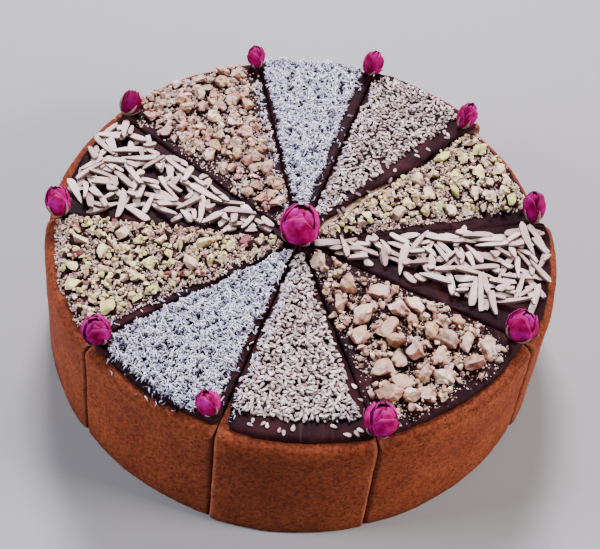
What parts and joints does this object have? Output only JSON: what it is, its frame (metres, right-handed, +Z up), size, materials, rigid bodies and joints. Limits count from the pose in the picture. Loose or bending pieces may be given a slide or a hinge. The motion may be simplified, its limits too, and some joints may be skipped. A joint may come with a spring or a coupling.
{
  "type": "sliced round sponge cake",
  "caption": "Round sponge cake cut into wedges that stay together, each with a chocolate top covered in nuts, seeds or coconut, and dried rosebuds over the cuts.",
  "frame": {"origin": "middle of the cake's outline, on the flat underside it stands on", "axes": "+Z up; -Y towards the sesame slice that is nearest in the usual view, +X to the right of it"},
  "size_m": [0.2476, 0.2484, 0.0901],
  "materials": {
    "sponge": "baked sponge with a browned, finely pored crust",
    "sesame_top": "cream sesame seeds lying close on dark chocolate",
    "walnut_top": "chopped walnut on dark chocolate",
    "almond_top": "split almond slivers on dark chocolate",
    "pistachio_top": "chopped pistachio and fine crumbs on dark chocolate",
    "coconut_top": "white grated coconut on dark chocolate",
    "rosebud": "dried papery petals"
  },
  "bodies": {
    "root": {"slice_01": "sponge", "icing_01": "sesame_top", "slice_02": "sponge", "icing_02": "walnut_top", "slice_03": "sponge", "icing_03": "almond_top", "slice_04": "sponge", "icing_04": "pistachio_top", "slice_05": "sponge", "icing_05": "sesame_top", "slice_06": "sponge", "icing_06": "coconut_top", "slice_07": "sponge", "icing_07": "walnut_top", "slice_08": "sponge", "icing_08": "almond_top", "slice_09": "sponge", "icing_09": "pistachio_top", "slice_10": "sponge", "icing_10": "coconut_top", "rosebud_01": "rosebud", "rosebud_02": "rosebud", "rosebud_03": "rosebud", "rosebud_04": "rosebud", "rosebud_05": "rosebud", "rosebud_06": "rosebud", "rosebud_07": "rosebud", "rosebud_08": "rosebud", "rosebud_09": "rosebud", "rosebud_10": "rosebud", "rosebud_centre": "rosebud"}
  },
  "joints": []
}
